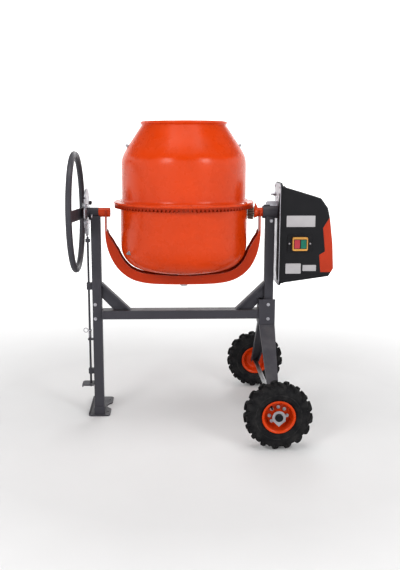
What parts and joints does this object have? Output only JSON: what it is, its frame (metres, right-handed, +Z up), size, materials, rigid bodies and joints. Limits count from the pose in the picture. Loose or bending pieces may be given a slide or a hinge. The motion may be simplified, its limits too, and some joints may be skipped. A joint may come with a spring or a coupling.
{
  "type": "concrete mixer",
  "caption": "Upright tilting-drum concrete mixer on a foot plate and two wheels, with handwheel, lock disc and pedal, ring gear and pinion, and a belt-drive motor in a side housing.",
  "frame": {"origin": "on the floor, under the middle of the machine", "axes": "+Z up; +X from the handwheel towards the motor housing; the wheel axle lies along Y and the switch faces -Y"},
  "size_m": [1.1914, 0.9382, 1.379],
  "materials": {
    "orange_paint": "gloss enamel, lightly worn at edges",
    "orange_plastic": "fine texture",
    "grey_paint": "satin powder coat",
    "zinc_plate": "zinc plated",
    "bare_steel": "machined",
    "cast_iron": "as cast, oiled",
    "black_plastic": "coarse texture",
    "tyre_rubber": "matt rubber",
    "belt_rubber": "matt",
    "yellow_plastic": "satin",
    "red_plastic": "satin",
    "green_plastic": "satin"
  },
  "bodies": {
    "frame": {"foot_plate": "grey_paint", "left_post": "grey_paint", "right_post": "grey_paint", "cross_beam": "grey_paint", "left_brace": "grey_paint", "right_brace": "grey_paint", "leg_bracket": "grey_paint", "front_leg": "grey_paint", "rear_leg": "grey_paint", "wheel_axle": "bare_steel", "left_bearing": "grey_paint", "right_bearing": "grey_paint", "drive_belt": "belt_rubber", "electric_motor": "zinc_plate", "run_capacitor": "black_plastic", "motor_backplate": "zinc_plate", "motor_housing": "black_plastic", "end_cover": "orange_plastic", "switch_plate": "black_plastic", "switch_bezel": "yellow_plastic", "power_inlet": "black_plastic", "front_hub_washer": "zinc_plate", "rear_hub_washer": "zinc_plate", "front_axle_cap": "black_plastic", "rear_axle_cap": "black_plastic"},
    "lock": {"lock_rod": "grey_paint", "lock_pawl": "grey_paint", "rod_collar": "zinc_plate", "return_spring": "zinc_plate", "foot_pedal": "grey_paint"},
    "yoke": {"tilt_yoke": "orange_paint", "left_trunnion": "orange_paint", "right_trunnion": "orange_paint", "drum_spindle": "bare_steel", "thrust_bearing": "bare_steel", "lock_disc": "zinc_plate", "handwheel_ring": "grey_paint", "handwheel_spokes": "grey_paint", "handwheel_bolt": "zinc_plate"},
    "drum": {"drum_lower": "orange_paint", "drum_upper": "orange_paint", "ring_gear": "orange_paint", "drum_boss": "orange_paint", "mixing_blade_left": "orange_paint", "mixing_blade_right": "orange_paint", "blade_bolt_top_left": "zinc_plate", "blade_bolt_top_right": "zinc_plate", "blade_bolt_low_left": "zinc_plate", "blade_bolt_low_right": "zinc_plate"},
    "pinion": {"pinion_gear": "cast_iron", "pinion_shaft": "bare_steel", "driven_pulley": "cast_iron"},
    "rotor": {"motor_pulley": "bare_steel", "cooling_fan": "black_plastic"},
    "front_wheel": {"front_tyre": "tyre_rubber", "front_rim": "orange_paint"},
    "rear_wheel": {"rear_tyre": "tyre_rubber", "rear_rim": "orange_paint"},
    "stop_key": {"stop_button": "red_plastic"},
    "start_key": {"start_button": "green_plastic"}
  },
  "joints": [
    {"name": "drum_tilt", "type": "hinge", "parent": "frame", "child": "yoke", "pos_m": [-0.08725, 0, 0.972], "axis": [1, 0, 0], "range_deg": [-130, 130]},
    {"name": "drum_spin", "type": "hinge", "parent": "yoke", "child": "drum", "pos_m": [-0.08725, 0, 0.8], "axis": [0, 0, 1], "continuous": true},
    {"name": "pinion_spin", "type": "hinge", "parent": "yoke", "child": "pinion", "pos_m": [0.21875, 0, 0.972], "axis": [1, 0, 0], "continuous": true},
    {"name": "motor_spin", "type": "hinge", "parent": "frame", "child": "rotor", "pos_m": [0.36875, 0, 0.79], "axis": [1, 0, 0], "continuous": true},
    {"name": "front_wheel_spin", "type": "hinge", "parent": "frame", "child": "front_wheel", "pos_m": [0.30275, -0.423, 0.147], "axis": [0, 1, 0], "continuous": true},
    {"name": "rear_wheel_spin", "type": "hinge", "parent": "frame", "child": "rear_wheel", "pos_m": [0.30275, 0.423, 0.147], "axis": [0, 1, 0], "continuous": true},
    {"name": "lock_slide", "type": "slide", "parent": "frame", "child": "lock", "axis": [0, 0, 1], "range_m": [0, 0.012], "deforming": ["return_spring"]},
    {"name": "stop_press", "type": "slide", "parent": "frame", "child": "stop_key", "axis": [0, 1, 0], "range_m": [0, 0.003], "stiffness_N_per_m": 300, "springref_m": -0.003},
    {"name": "start_press", "type": "slide", "parent": "frame", "child": "start_key", "axis": [0, 1, 0], "range_m": [0, 0.003], "stiffness_N_per_m": 300, "springref_m": -0.003}
  ],
  "couplings": [
    {"joint": "pinion_spin", "follows": "drum_spin", "ratio": -10.8},
    {"joint": "motor_spin", "follows": "drum_spin", "ratio": -40.339}
  ]
}
